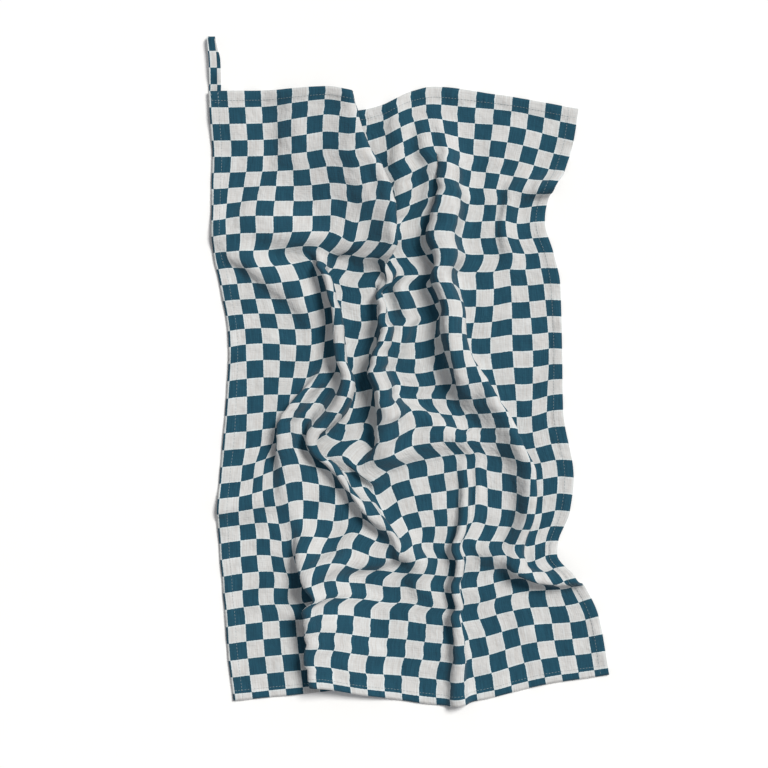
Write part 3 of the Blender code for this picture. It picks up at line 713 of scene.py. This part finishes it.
def from_edge(column, row):
    """How far in from the nearest edge of the flat cloth a place is."""
    return np.minimum(
        np.minimum(column + SLIVER, COLUMNS - column) * CHECK_ACROSS,
        np.minimum(row, ROWS - row) * CHECK_ALONG,
    )


def hem_share(column, row):
    """1 in the turned hem, 0 in the single cloth."""
    return 1.0 - smooth((from_edge(column, row) - HEM_WIDE) / HEM_STEP)


def make_cloth(points, counts, material):
    """The towel's one sheet, twice as thick at its hems, where its pattern stops just short of a border."""
    share = hem_share(counts[..., 0], counts[..., 1])
    within = (COLUMNS - BORDER_WANDER, ROWS - BORDER_WANDER)
    pattern = np.minimum(np.maximum(counts, (-SLIVER, BORDER_WANDER)), within)
    mesh, row, column = grid_mesh("towel_linen", points, pattern)
    piece = new_piece("towel_linen", mesh, material)
    hem = piece.vertex_groups.new(name="hem")
    for index, weight in enumerate(share[row, column]):
        hem.add([index], weight, "REPLACE")
    wall = piece.modifiers.new("both faces of the cloth", "SOLIDIFY")
    wall.thickness = HEM
    wall.offset = 0.0
    wall.vertex_group = "hem"
    wall.thickness_vertex_group = CLOTH / HEM
    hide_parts("towel_cloth")
    return piece


def creased(across, along):
    """The height that the small creases add, each a soft ridge along its path."""
    rise = np.zeros_like(across)
    for _name, width, high, stations in CREASES:
        path = np.array(stations, float) * (CHECK_ACROSS, CHECK_ALONG)
        knots = np.concatenate([[0.0], np.cumsum(np.hypot(*np.diff(path, axis=0).T))])
        places = np.linspace(0.0, knots[-1], CREASE_STEPS)
        px, py = (curve(np.column_stack([knots, path]), places, column) for column in (1, 2))
        gap, _side, place = nearest_on_path(across, along, px, py, px, py)
        fade = smooth(CREASE_ENDS * place / CREASE_STEPS)
        fade = fade * smooth(CREASE_ENDS * (1.0 - place / CREASE_STEPS))
        rise += 0.001 * high * fade * np.exp(-(gap / (0.001 * width)) ** 2)
    return rise


def rippled(column, row):
    """The height of the ripples that stitching and washing leave along the hems.

    Broad waves that never quite repeat carry smaller ones, and both die out towards the single cloth.
    """
    wave = np.sin(1.9 * column + 1.4 * np.sin(0.53 * row)) * np.sin(1.7 * row + 1.2 * np.sin(0.61 * column))
    small = np.sin(4.3 * column + 0.8) * np.sin(4.9 * row + 0.3)
    fade = 1.0 - smooth(from_edge(column, row) / RIPPLE_WIDE)
    return RIPPLE * (0.5 + 0.34 * wave + 0.16 * small) * fade


def seam(shape, points, normals, start, end):
    """Stitches in a row on the cloth, from one place to another, each given as a column and a row."""
    size = np.array([(COLUMNS + SLIVER) / (points.shape[1] - 1), ROWS / (points.shape[0] - 1)])
    check = np.array([CHECK_ACROSS, CHECK_ALONG])
    run = (np.array(end) - np.array(start)) * check
    length = np.hypot(*run)
    count = max(int(length / (STITCH + STITCH_GAP)), 1)
    middle = (np.arange(count) + 0.5) / count
    half = 0.5 * STITCH / length
    lines = []
    for shift in (-half, 0.0, half):
        places = np.array(start) + (middle + shift)[:, None] * (np.array(end) - np.array(start))
        lines.append((places + (SLIVER, 0.0)) / size)
    back, here, ahead = (read_between(points, line[:, 0], line[:, 1]) for line in lines)
    up = read_between(normals, lines[1][:, 0], lines[1][:, 1])
    along = ahead - back
    for centre, way, normal in zip(here, along, up):
        way = 0.5 * way
        normal = normal / np.linalg.norm(normal)
        side = np.cross(way, normal)
        side *= 0.5 * THREAD / max(np.linalg.norm(side), 1e-9)
        centre = centre + normal * (0.5 * HEM + STITCH_PROUD * THREAD)
        columns = np.column_stack([side, way, 0.5 * THREAD * normal, centre])
        matrix = Matrix([*columns.tolist(), (0.0, 0.0, 0.0, 1.0)])
        bmesh.ops.create_uvsphere(shape, u_segments=6, v_segments=5, radius=1.0, matrix=matrix)


def make_stitches(points, material):
    """The hems' rows of stitches and the bar tacks that hold the loop."""
    normals = np.cross(np.gradient(points, axis=1), -np.gradient(points, axis=0))
    shape = bmesh.new()
    left, right = -SLIVER + SEAM_IN / CHECK_ACROSS, COLUMNS - SEAM_IN / CHECK_ACROSS
    top, bottom = SEAM_IN / CHECK_ALONG, ROWS - SEAM_IN / CHECK_ALONG
    for start, end in (
        ((left, SEAM_SHORT), (left, ROWS - SEAM_SHORT)),
        ((right, SEAM_SHORT), (right, ROWS - SEAM_SHORT)),
        ((0.0, top), (COLUMNS - SEAM_SHORT, top)),
        ((0.0, bottom), (COLUMNS - SEAM_SHORT, bottom)),
        *BAR_TACKS,
    ):
        seam(shape, points, normals, start, end)
    bmesh.ops.recalc_face_normals(shape, faces=shape.faces)
    mesh = bpy.data.meshes.new("hem_stitches")
    shape.to_mesh(mesh)
    shape.free()
    mesh.shade_smooth()
    return new_piece("hem_stitches", mesh, material)


def make_loop(centre, material):
    """The hanging loop: a flat tape of the checked cloth, doubled back on itself."""
    line = loop_line()
    line[:, 1] += TOP_EDGE[0][1] * 0.001
    across = np.linspace(-0.5, 0.5, TAPE_COLUMNS + 1)
    points = line[:, None, :] + across[None, :, None] * np.array([TAPE_WIDE, 0.0, 0.0])
    steps = np.concatenate([[0.0], np.cumsum(np.linalg.norm(np.diff(line, axis=0), axis=1))])
    along = TAPE_PHASE - (steps[-1] - steps) / CHECK_ALONG
    sideways = TAPE_SIDE + (across + 0.5) * TAPE_WIDE / CHECK_ACROSS
    counts = np.stack(np.meshgrid(sideways, along), axis=-1)
    mesh, _row, _column = grid_mesh("loop_tape", points - (*centre, 0.0), counts)
    piece = new_piece("loop_tape", mesh, material)
    wall = piece.modifiers.new("folded thickness of the tape", "SOLIDIFY")
    wall.thickness = TAPE_THICK
    wall.offset = 0.0
    edge = piece.modifiers.new("soft folded edges", "BEVEL")
    edge.width = 0.3 * TAPE_THICK
    edge.segments = 2
    edge.limit_method = "ANGLE"
    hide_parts("hanging_loop")
    return piece


def loop_line():
    """Places along the middle of the looped tape: out on the surface, round, and back above it."""
    out = np.linspace(-LOOP_TUCKED, LOOP_REACH - 0.5 * loop_gap(LOOP_REACH) - TAPE_THICK, LOOP_STEPS)
    low = 0.5 * TAPE_THICK
    lower = [(loop_x(d, 2), d, low) for d in out]
    upper = [(loop_x(d, 1), d, low + TAPE_THICK + loop_gap(d)) for d in out[::-1]]
    radius = 0.5 * (TAPE_THICK + loop_gap(out[-1]))
    turn = []
    for step in range(1, TURN_STEPS):
        angle = np.pi * step / TURN_STEPS
        across = loop_x(out[-1], 2) + (loop_x(out[-1], 1) - loop_x(out[-1], 2)) * step / TURN_STEPS
        turn.append((across, out[-1] + radius * np.sin(angle), low + radius * (1.0 - np.cos(angle))))
    return np.array(lower + turn + upper)


def loop_x(distance, column):
    """Where one leg of the loop lies across, at this distance past the hem."""
    return float(curve(LOOP, np.array(distance * 1000.0), column)) * 0.001


def loop_gap(distance):
    """The space between the loop's legs, at this distance past the hem."""
    return float(curve(LOOP, np.array(distance * 1000.0), 3)) * 0.001


def make_floor():
    """A white board, just under the towel, that reaches past the frame."""
    shape = bmesh.new()
    bmesh.ops.create_grid(shape, x_segments=2, y_segments=2, size=FLOOR_HALF)
    bmesh.ops.translate(shape, verts=shape.verts, vec=(0.0, 0.0, -FLOOR_BELOW))
    mesh = bpy.data.meshes.new("floor")
    shape.to_mesh(mesh)
    shape.free()
    mesh.materials.append(white_board())
    floor = bpy.data.objects.new("floor", mesh)
    bpy.context.scene.collection.objects.link(floor)


def make_light():
    """A soft key from the upper right and an even white surround."""
    key = bpy.data.lights.new("key", "SUN")
    key.energy = KEY_STRENGTH
    key.angle = math.radians(KEY_SOFT)
    key.color = linear(KEY_TINT)[:3]
    lamp = bpy.data.objects.new("key", key)
    lamp.rotation_mode = "QUATERNION"
    lamp.rotation_quaternion = Vector(KEY_FROM).to_track_quat("Z", "Y")
    bpy.context.scene.collection.objects.link(lamp)
    world = bpy.data.worlds.new("white surround")
    world.use_nodes = True
    backdrop = world.node_tree.nodes["Background"]
    backdrop.inputs["Color"].default_value = linear(SURROUND_TINT)
    backdrop.inputs["Strength"].default_value = SURROUND
    bpy.context.scene.world = world
    bpy.context.scene.view_settings.view_transform = "Standard"


def make_camera(centre):
    """Straight above the towel, with the photo's frame."""
    lens = bpy.data.cameras.new("camera")
    lens.lens = LENS_MM
    camera = bpy.data.objects.new("camera", lens)
    camera.location = (PHOTO_MIDDLE[0] - centre[0], PHOTO_MIDDLE[1] - centre[1], CAMERA_HIGH)
    bpy.context.scene.collection.objects.link(camera)
    bpy.context.scene.camera = camera


def main():
    """Lays the cloth, sews it, adds its loop and sets the floor, the light and the camera."""
    x, y, z = sheet_points(FACES_ACROSS, FACES_ALONG)
    centre = plan_centre()
    counts = np.stack(np.meshgrid(
        np.linspace(-SLIVER, COLUMNS, FACES_ACROSS + 1), np.linspace(0.0, ROWS, FACES_ALONG + 1)
    ), axis=-1)
    column, row = counts[..., 0], counts[..., 1]
    z = np.maximum(z + creased(column * CHECK_ACROSS, row * CHECK_ALONG), 0.0) + rippled(column, row)
    half_thick = 0.5 * (CLOTH + (HEM - CLOTH) * hem_share(column, row))
    points = np.stack([x - centre[0], y - centre[1], z + half_thick], axis=-1)
    linen = checked_linen()
    cloth = make_cloth(points, counts, linen)
    stitches = make_stitches(points, sewing_thread())
    tape = make_loop(centre, linen)
    make_floor()
    make_light()
    make_camera(centre)


main()
